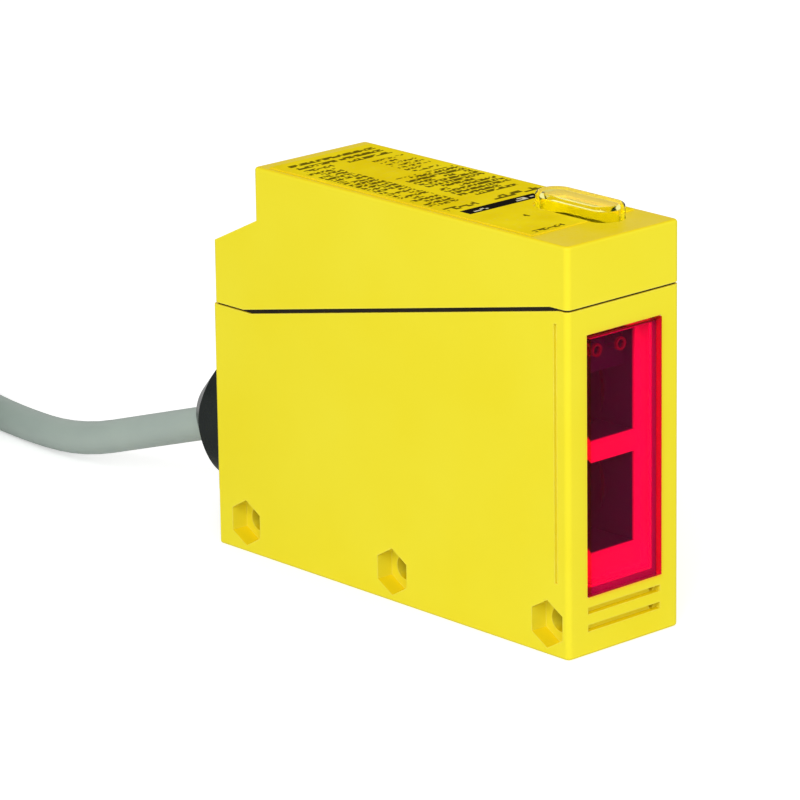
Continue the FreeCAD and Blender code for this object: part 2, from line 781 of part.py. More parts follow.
def cable_gland():
    """The moulded strain relief: a rounded square foot, cut down by a cone to a short round nose."""
    foot = rounded_block_along_y(gland_half_width, gland_half_height, gland_corner_radius,
                                 gland_centre_height, rear_y, rear_y + gland_cone_length + 4)
    tilt = math.radians(gland_cone_tilt_deg)
    cone_direction = V(0, math.cos(tilt), -math.sin(tilt))
    wall_spot = V(0, rear_y, gland_centre_height)
    reach_back = gland_half_width
    cone_length = gland_cone_length + reach_back
    cone = Part.makeCone(gland_cone_small_radius + cone_length * gland_cone_growth, gland_cone_small_radius,
                         cone_length, wall_spot - cone_direction * reach_back, cone_direction)
    body = foot.common(cone)
    nose_length = gland_nose_length + gland_cone_length / 2
    nose = Part.makeCylinder(gland_nose_radius, nose_length, cable_exit - cable_direction * nose_length,
                             cable_direction)
    spigot = rod((0, rear_y + 0.5, gland_spigot_height), (0, -1, 0), gland_spigot_radius,
                 gland_spigot_length + 0.5)
    bore = Part.makeCylinder(cable_radius + gland_bore_clearance, far,
                             cable_exit - cable_direction * far / 2, cable_direction)
    return fuse(body, nose, spigot).cut(bore)


def gland_locknut():
    """The nut that holds the strain relief from inside the case."""
    ring = rod((0, inner_rear_y, gland_spigot_height), (0, -1, 0), locknut_radius, locknut_thickness)
    return ring.cut(rod((0, far / 2, gland_spigot_height), (0, -1, 0),
                        gland_spigot_radius + gland_bore_clearance, far))


def inner_cable_end():
    """The middle of the jacket's end inside the case."""
    length = gland_cone_length + gland_nose_length + rear_wall + inner_cable_reach
    return cable_exit - cable_direction * length, length


def inner_cable():
    """The jacketed cable inside the strain relief and the case."""
    end, length = inner_cable_end()
    return Part.makeCylinder(cable_radius, length, end, cable_direction)


def rounded_path(points, label):
    """Straight runs joined by arcs: each arc takes 0.45 of the shorter run beside it."""
    points = [V(*p) for p in points]
    edges, start, radii = [], points[0], []
    for before, corner, after in zip(points, points[1:], points[2:]):
        arriving = (corner - before).normalize()
        leaving = (after - corner).normalize()
        half_turn = arriving.getAngle(leaving) / 2
        trim = 0.45 * min((corner - before).Length, (after - corner).Length)
        radii.append(trim / math.tan(half_turn))
        arc_in = corner - arriving * trim
        arc_out = corner + leaving * trim
        towards = (leaving - arriving).normalize()
        middle = corner + towards * (radii[-1] / math.cos(half_turn) - radii[-1])
        edges.append(Part.LineSegment(start, arc_in).toShape())
        edges.append(Part.Arc(arc_in, middle, arc_out).toShape())
        start = arc_out
    edges.append(Part.LineSegment(start, points[-1]).toShape())
    print(label, "arc radii in mm:", [round(r, 1) for r in radii])
    return Part.Wire(edges)


def tube(points, radius, label):
    """A round solid along a rounded path, with its volume set against its section times its length."""
    path = rounded_path(points, label)
    first = path.Edges[0]
    start, direction = first.valueAt(first.FirstParameter), first.tangentAt(first.FirstParameter)
    section = Part.Wire([Part.makeCircle(radius, start, direction)])
    solid = path.makePipeShell([section], True, False)
    expected = math.pi * radius * radius * path.Length
    ratio = solid.Volume / expected
    print(label, "length in mm", round(path.Length, 1), "volume over section times length", round(ratio, 4))
    return solid


def bundle_place(order):
    """(sideways, upwards) place of one wire in the jacket's section: five on a circle."""
    turn = math.radians((162, 234, 90, 306, 18)[order])
    return wire_circle_radius * math.cos(turn), wire_circle_radius * math.sin(turn)


def inner_wire(order):
    """One of the five wires from the jacket's end to the connector, spread upwards on the way."""
    end, _ = inner_cable_end()
    upward = V(0, math.sin(cable_tilt), math.cos(cable_tilt))
    sideways, up = bundle_place(order)
    spot = end + V(sideways, 0, 0) + upward * up
    low, high = connector_box()
    landing = V((low[0] + high[0]) / 2 + sideways, high[1], (low[2] + high[2]) / 2 + wire_spread * up)
    first_bend = spot - cable_direction * wire_straight_end
    last_bend = landing + V(0, wire_straight_end, 0)
    return tube([spot, first_bend, last_bend, landing], wire_radius, f"inner wire {order}")


def free_cable():
    """The cable from the strain relief's nose down to the floor and up to the hank."""
    return tube([cable_exit, *cable_route], cable_radius, "free cable")


def racetrack(radius, z_low, z_high):
    """A flat bar with two straight sides and two round ends, at the hank's place."""
    middle = box((hank_middle_x - radius, hank_near_y, z_low),
                 (hank_middle_x + radius, hank_far_y, z_high))
    ends = [rod((hank_middle_x, y, z_low), (0, 0, 1), radius, z_high - z_low)
            for y in (hank_near_y, hank_far_y)]
    return fuse(middle, *ends)


def cable_hank():
    """The outer shape of the tied hank: an oval ring as wide and as high as its turns."""
    ring = racetrack(hank_outer_radius, tie_thickness, hank_top)
    ring = ring.cut(racetrack(hank_inner_radius, 0, hank_top + 1))
    rims = [e for e in ring.Edges if e.BoundBox.ZLength < 1e-6]
    return ring.makeFillet(hank_edge_radius, rims).cut(free_cable())


def hank_bundle(grown, y_low, y_high):
    """A rounded bar round the hank's far bundle of turns, grown on every side."""
    middle_x = hank_middle_x - hank_bundle_radius
    half = (hank_outer_radius - hank_inner_radius) / 2 + grown
    bar = box((middle_x - half, y_low, tie_thickness - grown), (middle_x + half, y_high, hank_top + grown))
    long_edges = [e for e in bar.Edges if e.BoundBox.YLength > (y_high - y_low) * 0.99]
    return bar.makeFillet(hank_edge_radius + grown, long_edges)


def cable_tie():
    """The tie round the hank's far bundle, a closed band with a small head on top."""
    y_low = hank_near_y + tie_from_near_end
    y_high = y_low + tie_width
    middle_x = hank_middle_x - hank_bundle_radius
    head_z = hank_top + tie_thickness / 2
    head = box((middle_x - tie_head_length / 2, y_low, head_z),
               (middle_x + tie_head_length / 2, y_high, head_z + tie_head_height))
    head = head.makeFillet(tie_head_edge_radius, [e for e in head.Edges if e.BoundBox.ZMin > head_z + 0.1])
    return fuse(hank_bundle(tie_thickness, y_low, y_high), head).cut(hank_bundle(0, y_low - 1, y_high + 1))


def end_points():
    """The points of the jacket's last stretch, on top of the hank round its far end."""
    steps = 5
    places = []
    for i in range(steps + 1):
        turn = math.radians(end_sweep_deg * i / steps)
        places.append(V(hank_middle_x + hank_bundle_radius * math.cos(turn),
                        hank_far_y + hank_bundle_radius * math.sin(turn), hank_top + cable_radius))
    return places


def cable_end():
    """The last stretch of the jacket."""
    return tube(end_points(), cable_radius, "cable end")


def lead_points(order):
    """The points of one stripped lead: straight out of the jacket, then down and along the hank."""
    before, last = end_points()[-2:]
    along = (last - before).normalize()
    outward = along.cross(V(0, 0, 1))
    sideways, up = bundle_place(order)
    spot = last + outward * sideways + V(0, 0, up)
    points = [spot, spot + along * lead_straight_start]
    rank = order - (len(wire_colours) - 1) / 2
    reach = lead_reach - lead_step * order
    for share in (0.5, 1.0):
        lane = rank * (lead_spread_near + (lead_spread_far - lead_spread_near) * share)
        points.append(V(hank_middle_x - hank_bundle_radius - lane, last.y - reach * share,
                        hank_top + lead_radius))
    return points


def lead(order):
    """One insulated lead out of the jacket's end."""
    return tube(lead_points(order), lead_radius, f"lead {order}")


def lead_tips():
    """The five tinned wire ends, as separate solids."""
    tips = []
    for order in range(len(wire_colours)):
        before, last = lead_points(order)[-2:]
        direction = (last - before).normalize()
        tips.append(Part.makeCylinder(lead_tip_radius, lead_tip_length, last, direction))
    return Part.Compound(tips)


def top_label():
    """The label foil on the top, cut out round the dome."""
    half = side_x - label_margin_side
    foil = box((-half, front_y + label_front_from_front, case_height),
               (half, step_y - label_rear_margin, case_height + label_thickness))
    gap = label_dome_gap
    return foil.cut(obround(dome_width / 2 + gap, dome_length / 2 + gap, 0, far))


def all_parts():
    """Every node's name and solid."""
    parts = {
        "lower_housing": lower_housing(),
        "upper_cover": upper_cover(),
        "seam_gasket": seam_gasket(),
        "front_window": front_window(),
        "window_seal": window_seal(),
        "optics_carrier": optics_carrier(),
        "emitter_lens": lens(emitter_chamber_bottom, emitter_chamber_top),
        "receiver_lens": lens(receiver_chamber_bottom, receiver_chamber_top),
        "optics_board": optics_board(),
        "emitter_led": emitter_led(),
        "receiver_photodiode": receiver_photodiode(),
        "main_board": main_board(),
        "control_chip": control_chip(),
        "regulator_chip": regulator_chip(),
        "capacitor": capacitor(),
        "board_connector": board_connector(),
        "board_screws": board_screws(),
        "indicator_board_screws": indicator_board_screws(),
        "optics_link": optics_link(),
        "board_link": board_link(),
        "indicator_board": indicator_board(),
        "power_led": indicator_led(1),
        "output_led": indicator_led(-1),
        "indicator_dome": indicator_dome(),
        "adjuster_screw": adjuster_screw(),
        "adjuster_o_ring": adjuster_o_ring(),
        "potentiometer_rotor": potentiometer_rotor(),
        "potentiometer_body": potentiometer_body(),
        "cable_gland": cable_gland(),
        "gland_locknut": gland_locknut(),
        "inner_cable": inner_cable(),
        "cable": free_cable(),
        "cable_hank": cable_hank(),
        "cable_tie": cable_tie(),
        "cable_end": cable_end(),
        "lead_tips": lead_tips(),
        "top_label": top_label(),
    }
    for order, colour in enumerate(wire_colours):
        parts[f"inner_wire_{colour}"] = inner_wire(order)
        parts[f"lead_{colour}"] = lead(order)
    return parts


os.makedirs("parts", exist_ok=True)
for node, shape in all_parts().items():
    shape.exportStep(f"parts/{node}.step")
    bounds = shape.BoundBox
    print(f"{node}: valid {shape.isValid()}, solids {len(shape.Solids)}, volume {shape.Volume:.1f},",
          f"x {bounds.XMin:.2f} {bounds.XMax:.2f}, y {bounds.YMin:.2f} {bounds.YMax:.2f},",
          f"z {bounds.ZMin:.2f} {bounds.ZMax:.2f}")
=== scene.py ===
# %% [markdown]
# # A diffuse photoelectric sensor
#
# The object is a slim yellow block with a red window at its front, a clear indicator dome on top
# and a grey cable at the back. Its solid parts come ready made as meshes in metres, each in its
# place. This lesson gives them their finishes, lays the cable, and sets the camera and the light.

# %% Load the solid parts
import math
import bpy
from mathutils import Matrix, Vector


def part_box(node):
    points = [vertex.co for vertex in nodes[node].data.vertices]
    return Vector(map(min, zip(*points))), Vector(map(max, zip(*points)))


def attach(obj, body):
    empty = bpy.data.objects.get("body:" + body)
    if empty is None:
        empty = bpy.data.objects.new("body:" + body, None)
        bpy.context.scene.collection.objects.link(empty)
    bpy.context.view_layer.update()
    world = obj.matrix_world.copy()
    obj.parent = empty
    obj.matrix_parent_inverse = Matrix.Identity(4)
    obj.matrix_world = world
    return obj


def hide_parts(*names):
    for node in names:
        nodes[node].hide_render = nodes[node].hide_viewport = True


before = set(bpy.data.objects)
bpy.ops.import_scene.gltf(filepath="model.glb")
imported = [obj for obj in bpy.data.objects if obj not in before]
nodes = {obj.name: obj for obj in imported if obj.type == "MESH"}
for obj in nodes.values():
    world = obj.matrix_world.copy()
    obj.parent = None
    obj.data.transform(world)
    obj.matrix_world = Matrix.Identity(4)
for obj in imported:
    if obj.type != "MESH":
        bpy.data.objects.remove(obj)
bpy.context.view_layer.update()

print("pieces loaded:", len(nodes))

# %% [markdown]
# ## The camera
#
# The picture was taken with a long lens from the front left, a little above the object. A long
# lens keeps upright edges nearly parallel, so the camera stands well back and the lens is long
# instead of wide. Its place is worked out from two angles, a distance and the point it looks at,
# which reads more plainly than nine numbers of a matrix.

# %% Place the camera
MM = 0.001
MM_IN_A_METRE = 1000.0
sight_turn = math.radians(42.46)
sight_drop = math.radians(16.783)
camera_roll = math.radians(-0.82)
camera_distance = 676.2 * MM
look_at = Vector((0, 0, 29.167 * MM))
slide_right = -5.468 * MM
slide_up = -2.906 * MM

forward = Vector((math.sin(sight_turn) * math.cos(sight_drop),
                  math.cos(sight_turn) * math.cos(sight_drop),
                  -math.sin(sight_drop)))
level_right = forward.cross(Vector((0, 0, 1))).normalized()
level_up = level_right.cross(forward)
right = level_right * math.cos(camera_roll) + level_up * math.sin(camera_roll)
up = right.cross(forward)

camera_data = bpy.data.cameras.new("photo_camera")
camera_data.sensor_width = 36.0
camera_data.lens = 225.04
camera_data.clip_start = 0.05
camera = bpy.data.objects.new("photo_camera", camera_data)
bpy.context.scene.collection.objects.link(camera)
spot = look_at - forward * camera_distance + right * slide_right + up * slide_up
turned = Matrix((right, up, -forward)).transposed()
camera.matrix_world = Matrix.Translation(spot) @ turned.to_4x4()
bpy.context.scene.camera = camera
print("camera stands at", [round(c, 4) for c in spot])

# %% [markdown]
# ## The cable
#
# The cable is a round grey jacket, 4.9 mm thick and about 2 m long. It leaves the strain relief
# sloping down and comes to rest on the floor. Its spare length lies beyond the edge of the
# picture, folded into a hank that a tie holds together. One smooth curve with a round bevel makes
# all of it. The curve starts with a few listed points.

# %% Choose the cable's way to the hank
cable_radius = 2.45 * MM
cable_exit = (0.0, 46.254 * MM, 13.252 * MM)
way_to_hank = [
    cable_exit,
    (0.0, 62.76 * MM, 8.05 * MM),
    (0.0, 78.5 * MM, 3.1 * MM),
    (1.2 * MM, 95.0 * MM, 2.45 * MM),
    (3.6 * MM, 109.0 * MM, 2.55 * MM),
    (5.0 * MM, 122.0 * MM, 3.05 * MM),
    (5.0 * MM, 135.0 * MM, 3.05 * MM),
]

# %% [markdown]
# The hank is wound like a flat oval of two straight runs and two half circles. Two turns lie side
# by side in each of four layers, and a last one, which isn't complete, lies on top of them. Each
# straight run and each half circle counts as a quarter of a turn. A turn keeps its radius and its
# height for most of the way, and goes over to those of the next turn as it rounds the near end.
# Each half circle takes a ring of control points just outside it, a fixed angle apart. The bevel
# is one unit deep and each point's radius carries the real thickness, because Blender works out
# a curve's bounds from those radii.

# %% Describe the turns of the hank
hank_middle = -14.6 * MM
near_end = 118.0 * MM
far_end = 178.0 * MM
outer, inner, topmost = 19.6 * MM, 14.7 * MM, 17.15 * MM
turn_radii = [outer, inner, inner, outer, outer, inner, inner, outer, topmost]
lowest = 3.05 * MM
turn_heights = [lowest + 2 * cable_radius * (turn // 2) for turn in range(len(turn_radii))]
half_step = math.radians(11.25)
quarter = 0.25
far_end_begins, near_end_begins = 0.25, 0.75
radius_goes_over = (0.88, 1.0)
height_goes_over = (0.82, 0.964)


def going_over(levels, turn, share, begins, ends):
    """The level of a turn, which softly goes over to that of the next turn near its end."""
    following = levels[min(turn + 1, len(levels) - 1)]
    part = min(1.0, max(0.0, (share - begins) / (ends - begins)))
    return levels[turn] + (following - levels[turn]) * part * part * (3 - 2 * part)


def round_end(turn, middle, first_angle, first_share, steps=10):
    """Control points of one half circle, with one more on the straight run at each side of it."""
    points = []
    for k in range(steps):
        past_run = half_step * (2 * k - 1)
        share = min(1.0, first_share + quarter * past_run / math.pi)
        radius = going_over(turn_radii, turn, share, *radius_goes_over) / math.cos(half_step)
        height = going_over(turn_heights, turn, share, *height_goes_over)
        angle = first_angle + past_run
        across = hank_middle + radius * math.cos(angle)
        points.append(Vector((across, middle + radius * math.sin(angle), height)))
    return points


# %% Draw the cable as one curve
cable_points = [Vector(place) for place in way_to_hank]
last_turn = len(turn_radii) - 1
for turn in range(last_turn):
    cable_points += round_end(turn, far_end, 0.0, far_end_begins)
    cable_points += round_end(turn, near_end, math.pi, near_end_begins)
cable_points += round_end(last_turn, far_end, 0.0, far_end_begins, steps=8)
last_angle, last_half_step = 165.0, 3.75
reach_before_last = topmost / math.cos(math.radians(last_half_step))
for angle, reach in ((last_angle - last_half_step, reach_before_last), (last_angle, topmost)):
    across = hank_middle + reach * math.cos(math.radians(angle))
    along = far_end + reach * math.sin(math.radians(angle))
    cable_points.append(Vector((across, along, turn_heights[-1])))

cable_curve = bpy.data.curves.new("cable_jacket", "CURVE")
cable_curve.dimensions = "3D"
spline = cable_curve.splines.new("NURBS")
spline.points.add(len(cable_points) - 1)
for point, place in zip(spline.points, cable_points):
    point.co = (*place, 1.0)
    point.radius = cable_radius
spline.order_u = 3
spline.use_endpoint_u = True
spline.resolution_u = 5
cable_curve.bevel_depth = 1.0
cable_curve.bevel_resolution = 5
cable_curve.use_fill_caps = True
cable = bpy.data.objects.new("cable_jacket", cable_curve)
bpy.context.scene.collection.objects.link(cable)
print("cable control points:", len(cable_points))

# %% Say what the cable is
with_the_cord = [nodes[name] for name in sorted(nodes) if name.startswith("lead_")]
with_the_cord += [nodes[name] for name in ("cable_gland", "cable_tie", "inner_cable")]
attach(cable, "case")
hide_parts("cable", "cable_hank", "cable_end")
print("pieces that belong to the cord:", len(with_the_cord))

# %% [markdown]
# ## Small helpers for materials
#
# Every finish is made of nodes. Adding a node takes several lines in plain Python, so a few
# helpers shorten it: they add a node and fill its inputs, do sums, carry a value from one range
# to another, mark where a value lies between two others, and mix two colours by a mask.

# %% Helpers that add nodes
def add(tree, kind, inputs=None, **settings):
    """Adds one node; inputs maps an input's name or number to a value or to another node's output."""
    node = tree.nodes.new(kind)
    for name, value in settings.items():
        setattr(node, name, value)
    for name, value in (inputs or {}).items():
        if isinstance(value, bpy.types.NodeSocket):
            tree.links.new(value, node.inputs[name])
        else:
            node.inputs[name].default_value = value
    return node


def maths(tree, operation, *values):
    """The output of one maths node."""
    return add(tree, "ShaderNodeMath", dict(enumerate(values)), operation=operation).outputs[0]


def span(tree, value, low, high, new_low=0.0, new_high=1.0):
    """Carries a value from one range to another, and holds it at the ends."""
    numbers = {0: value, 1: low, 2: high, 3: new_low, 4: new_high}
    return add(tree, "ShaderNodeMapRange", numbers).outputs[0]


def inside(tree, value, low, high):
    """1 where a value lies between two others, and 0 elsewhere."""
    above = maths(tree, "GREATER_THAN", value, low)
    return maths(tree, "MULTIPLY", above, maths(tree, "LESS_THAN", value, high))


def mixed(tree, mask, first, second):
    """A colour that goes from the first to the second as the mask goes from 0 to 1."""
    node = add(tree, "ShaderNodeMix", {0: mask, 6: first, 7: second}, data_type="RGBA")
    return node.outputs[2]


# %% Helpers that start a node group and place it
def start_group(name, takes, gives):
    """Starts a group of numbers in and numbers out; returns it and the sockets of its two ends."""
    group = bpy.data.node_groups.new(name, "ShaderNodeTree")
    for label, default in takes.items():
        socket = group.interface.new_socket(label, in_out="INPUT", socket_type="NodeSocketFloat")
        socket.default_value = default
    for label in gives:
        group.interface.new_socket(label, in_out="OUTPUT", socket_type="NodeSocketFloat")
    entry = group.nodes.new("NodeGroupInput").outputs
    exits = group.nodes.new("NodeGroupOutput").inputs
    return group, entry, exits


def use(tree, group, inputs=None):
    """Places a group in a material and returns its outputs."""
    return add(tree, "ShaderNodeGroup", inputs, node_tree=group).outputs


# %% [markdown]
# ## Effects that many finishes share
#
# Moulded plastic, rubber and film all have the same three marks: a fine grain left by the tool,
# a slow change of tone where the material flowed, and a gloss that varies a little. One group
# gives all three, and each material sets its own grain size. Coordinates are the object's own,
# in millimetres, so that a grain size can be written as a real size.

# %% Coordinates in millimetres
millimetres, _, given = start_group("millimetres", {}, ["X", "Y", "Z"])
object_place = add(millimetres, "ShaderNodeTexCoord").outputs["Object"]
in_mm = add(millimetres, "ShaderNodeVectorMath", {0: object_place, "Scale": MM_IN_A_METRE},
            operation="SCALE")
split = add(millimetres, "ShaderNodeSeparateXYZ", {0: in_mm.outputs[0]})
for axis in ("X", "Y", "Z"):
    millimetres.links.new(split.outputs[axis], given[axis])
print("group made:", millimetres.name)

# %% The skin of a moulding
skin, taken, given = start_group(
    "moulded_skin", {"Grain Size": 0.25, "Flow Size": 12.0}, ["Flow", "Gloss", "Grain"])
place = add(skin, "ShaderNodeTexCoord").outputs["Object"]
grain_scale = maths(skin, "DIVIDE", MM_IN_A_METRE, taken["Grain Size"])
flow_scale = maths(skin, "DIVIDE", MM_IN_A_METRE, taken["Flow Size"])
gloss_scale = maths(skin, "MULTIPLY", flow_scale, 3.7)
grain = add(skin, "ShaderNodeTexNoise", {"Vector": place, "Scale": grain_scale, "Detail": 3.0})
flow = add(skin, "ShaderNodeTexNoise", {"Vector": place, "Scale": flow_scale, "Detail": 2.0})
gloss = add(skin, "ShaderNodeTexNoise", {"Vector": place, "Scale": gloss_scale, "Detail": 4.0})
skin.links.new(span(skin, flow.outputs[0], 0.3, 0.7), given["Flow"])
skin.links.new(span(skin, gloss.outputs[0], 0.3, 0.7), given["Gloss"])
skin.links.new(grain.outputs[0], given["Grain"])
print("group made:", skin.name)

# %% [markdown]
# Edges of a real moulding are never quite sharp, and they catch the light, so here they are
# painted paler as a highlight. The bevel node tells how much the surface turns nearby, which finds
# the edges on any mesh.

# %% Edges painted as highlights
# Where this mask is high, the finishes paint the surface paler as a highlight.
edge_highlight_mask, taken, given = start_group("edge_highlight_mask", {"Reach": 0.4, "Breakup": 1.5}, ["Mask"])
reach_in_metres = maths(edge_highlight_mask, "MULTIPLY", taken["Reach"], MM)
rounded = add(edge_highlight_mask, "ShaderNodeBevel", {"Radius": reach_in_metres}, samples=4).outputs[0]
true_normal = add(edge_highlight_mask, "ShaderNodeNewGeometry").outputs["Normal"]
likeness = add(edge_highlight_mask, "ShaderNodeVectorMath", {0: rounded, 1: true_normal},
               operation="DOT_PRODUCT")
turning = maths(edge_highlight_mask, "SUBTRACT", 1.0, likeness.outputs["Value"])
place = add(edge_highlight_mask, "ShaderNodeTexCoord").outputs["Object"]
breakup_scale = maths(edge_highlight_mask, "DIVIDE", MM_IN_A_METRE, taken["Breakup"])
breakup = add(edge_highlight_mask, "ShaderNodeTexNoise",
              {"Vector": place, "Scale": breakup_scale, "Detail": 3.0})
patchy = maths(edge_highlight_mask, "MULTIPLY", span(edge_highlight_mask, turning, 0.02, 0.25), breakup.outputs[0])
edge_highlight_mask.links.new(span(edge_highlight_mask, patchy, 0.1, 0.6), given["Mask"])
print("group made:", edge_highlight_mask.name)

# %% [markdown]
# A little dust lies on whatever faces up. The mask is the upward part of the surface's normal,
# broken up by noise, so it stays off the sides.

# %% Dust on upward faces
settled_dust, taken, given = start_group("settled_dust", {"Speck Size": 0.6}, ["Mask"])
normal = add(settled_dust, "ShaderNodeNewGeometry").outputs["Normal"]
upward = add(settled_dust, "ShaderNodeSeparateXYZ", {0: normal}).outputs["Z"]
place = add(settled_dust, "ShaderNodeTexCoord").outputs["Object"]
speck_scale = maths(settled_dust, "DIVIDE", MM_IN_A_METRE, taken["Speck Size"])
specks = add(settled_dust, "ShaderNodeTexNoise",
             {"Vector": place, "Scale": speck_scale, "Detail": 5.0})
lying = maths(settled_dust, "MULTIPLY", span(settled_dust, upward, 0.5, 1.0),
              span(settled_dust, specks.outputs[0], 0.55, 0.75))
settled_dust.links.new(lying, given["Mask"])
print("group made:", settled_dust.name)

# %% [markdown]
# The top of the case is painted a darker amber as shade, since less light falls on it than on
# the sides. The same upward part of the normal, without any specks, says where.

# %% Faces that look up
facing_up, _, given = start_group("facing_up", {}, ["Mask"])
normal = add(facing_up, "ShaderNodeNewGeometry").outputs["Normal"]
upward = add(facing_up, "ShaderNodeSeparateXYZ", {0: normal}).outputs["Z"]
facing_up.links.new(span(facing_up, upward, 0.6, 0.95), given["Mask"])
print("group made:", facing_up.name)

# %% [markdown]
# ## Moulded finishes
#
# Plastic and rubber differ in colour, in gloss and in how deep the grain is, so one function
# makes them all. The shader stays in the material itself, and numbers that are the same all over
# the surface sit on its own sockets.

# %% A function for moulded plastic and rubber
DUST_TONE = (0.6, 0.58, 0.53, 1)
DUST_ROUGHNESS = 0.15
EDGE_HIGHLIGHT_PALER = 0.25
GRAIN_STRENGTH = 0.35


def moulded(name, colour, flow_colour, gloss_range, grain_size=0.25, grain_depth=0.004,
            flow_size=12.0, edge=0.25, dust=0.1, specular=0.5):
    """A moulded finish: two tones that flow into each other, edges painted paler as a highlight, dust
    and a fine grain.
    """
    material = bpy.data.materials.new(name)
    material.use_nodes = True
    tree = material.node_tree
    shader = tree.nodes["Principled BSDF"]
    marks = use(tree, skin, {"Grain Size": grain_size, "Flow Size": flow_size})
    edges = use(tree, edge_highlight_mask)["Mask"]
    specks = use(tree, settled_dust)["Mask"]
    # The edges are painted this paler tone as a highlight.
    pale = tuple(c + (1 - c) * EDGE_HIGHLIGHT_PALER for c in colour)
    body = mixed(tree, marks["Flow"], (*colour, 1), (*flow_colour, 1))
    edge_lit = mixed(tree, maths(tree, "MULTIPLY", edges, edge), body, (*pale, 1))
    dusted = mixed(tree, maths(tree, "MULTIPLY", specks, dust), edge_lit, DUST_TONE)
    tree.links.new(dusted, shader.inputs["Base Color"])
    smooth = span(tree, marks["Gloss"], 0.0, 1.0, *gloss_range)
    tree.links.new(maths(tree, "ADD", smooth, maths(tree, "MULTIPLY", specks, DUST_ROUGHNESS)),
                   shader.inputs["Roughness"])
    bump = add(tree, "ShaderNodeBump", {"Height": marks["Grain"], "Strength": GRAIN_STRENGTH,
                                        "Distance": grain_depth * MM})
    tree.links.new(bump.outputs[0], shader.inputs["Normal"])
    shader.inputs["Specular IOR Level"].default_value = specular
    return material


def dress(material, *names):
    """Gives a material to named pieces."""
    for name in names:
        piece = nodes[name] if name in nodes else bpy.data.objects[name]
        if piece.type == "CURVE" or not piece.material_slots:
            piece.data.materials.clear()
            piece.data.materials.append(material)
        for slot in piece.material_slots:
            slot.material = material
    print(material.name, "on", ", ".join(names))


# %% [markdown]
# The case is a yellow plastic with a low gloss. The sides are a full lemon yellow, and the top
# is painted a darker amber as shade, since less light falls on it than on the sides. The mask of
# upward faces brings that in. The grain is very fine, about a fifth of a millimetre, and shallow.
# The seat behind the window is primed pale, so that the red in front of it stays even.

# %% Yellow case
# This amber is painted shade for the faces that look up.
amber = (0.9, 0.68, 0.002, 1)
primer = (0.9, 0.88, 0.88, 1)
seat_margin = 0.15
seat_begins, seat_ends = 0.45, 4.0
case_yellow = moulded("case_yellow", (0.885, 0.775, 0.034), (0.875, 0.75, 0.024), (0.3, 0.4),
                      grain_size=0.22, grain_depth=0.006, flow_size=18.0, edge=0.35, dust=0.04,
                      specular=0.06)
tree = case_yellow.node_tree
shader = tree.nodes["Principled BSDF"]
upward = use(tree, facing_up)["Mask"]
plain_yellow = shader.inputs["Base Color"].links[0].from_socket
# The upward faces are painted amber as shade.
top_shaded = mixed(tree, upward, plain_yellow, amber)
case_place = use(tree, millimetres)
window_low, window_high = [Vector(corner) * MM_IN_A_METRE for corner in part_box("front_window")]
seat_width = inside(tree, case_place["X"], window_low.x - seat_margin, window_high.x + seat_margin)
seat_height = inside(tree, case_place["Z"], window_low.z - seat_margin, window_high.z + seat_margin)
in_seat = maths(tree, "MULTIPLY", seat_width, seat_height)
behind_window = inside(tree, case_place["Y"], window_low.y + seat_begins, window_low.y + seat_ends)
primed = mixed(tree, maths(tree, "MULTIPLY", in_seat, behind_window), top_shaded, primer)
tree.links.new(primed, shader.inputs["Base Color"])
dress(case_yellow, "lower_housing", "upper_cover")

# %% [markdown]
# The seam and the adjuster are sealed with soft black rubber that has almost no gloss, and the
# window with a pale silicone that hardly shows behind it. The strain relief is a harder black
# moulding, which catches soft upright highlights, so its gloss is higher and its grain coarser.

# %% Rubber seals and the strain relief
seal_black = moulded("seal_black", (0.012, 0.010, 0.006), (0.02, 0.016, 0.01), (0.55, 0.7),
                     grain_size=0.12, grain_depth=0.01, edge=0.1, dust=0.02, specular=0.1)
dress(seal_black, "seam_gasket", "adjuster_o_ring")
seal_pale = moulded("seal_pale", (0.9, 0.88, 0.88), (0.86, 0.84, 0.84), (0.5, 0.6),
                    grain_size=0.12, grain_depth=0.01, edge=0.1)
dress(seal_pale, "window_seal")
gland_black = moulded("gland_black", (0.006, 0.009, 0.008), (0.01, 0.014, 0.013), (0.24, 0.34),
                      grain_size=0.35, grain_depth=0.02, flow_size=7.0, edge=0.3, dust=0.03,
                      specular=0.12)
dress(gland_black, "cable_gland", "gland_locknut", "cable_tie")

# %% [markdown]
# The jacket is a soft grey plastic with a satin gloss. Its grain is coarser than that of the
# case, and more dust settles on it.

# %% Cable jacket
jacket_grey = moulded("jacket_grey", (0.4, 0.475, 0.425), (0.37, 0.44, 0.4), (0.38, 0.5),
                      grain_size=0.5, grain_depth=0.02, flow_size=9.0, edge=0.0, dust=0.15)
dress(jacket_grey, "cable_jacket", "inner_cable", "cable", "cable_hank", "cable_end")

# %% [markdown]
# Five insulated wires run inside the jacket and fan out at its bare end. Each has one colour and
# the gloss of thin extruded plastic.

# %% Wire insulation
insulation = {
    "brown": ((0.16, 0.055, 0.02), (0.2, 0.07, 0.03)),
    "white": ((0.78, 0.78, 0.76), (0.72, 0.72, 0.7)),
    "blue": ((0.02, 0.1, 0.42), (0.03, 0.13, 0.48)),
    "black": ((0.014, 0.014, 0.014), (0.022, 0.022, 0.022)),
    "grey": ((0.3, 0.31, 0.32), (0.34, 0.35, 0.36)),
}
for colour_name, (main_tone, flow_tone) in insulation.items():
    wire = moulded(f"wire_{colour_name}", main_tone, flow_tone, (0.22, 0.34), grain_size=0.15,
                   grain_depth=0.004, flow_size=4.0, edge=0.0, dust=0.05)
    dress(wire, f"inner_wire_{colour_name}", f"lead_{colour_name}")

# %% [markdown]
# Inside the case are black chips, ivory connectors and an amber film that links the boards.

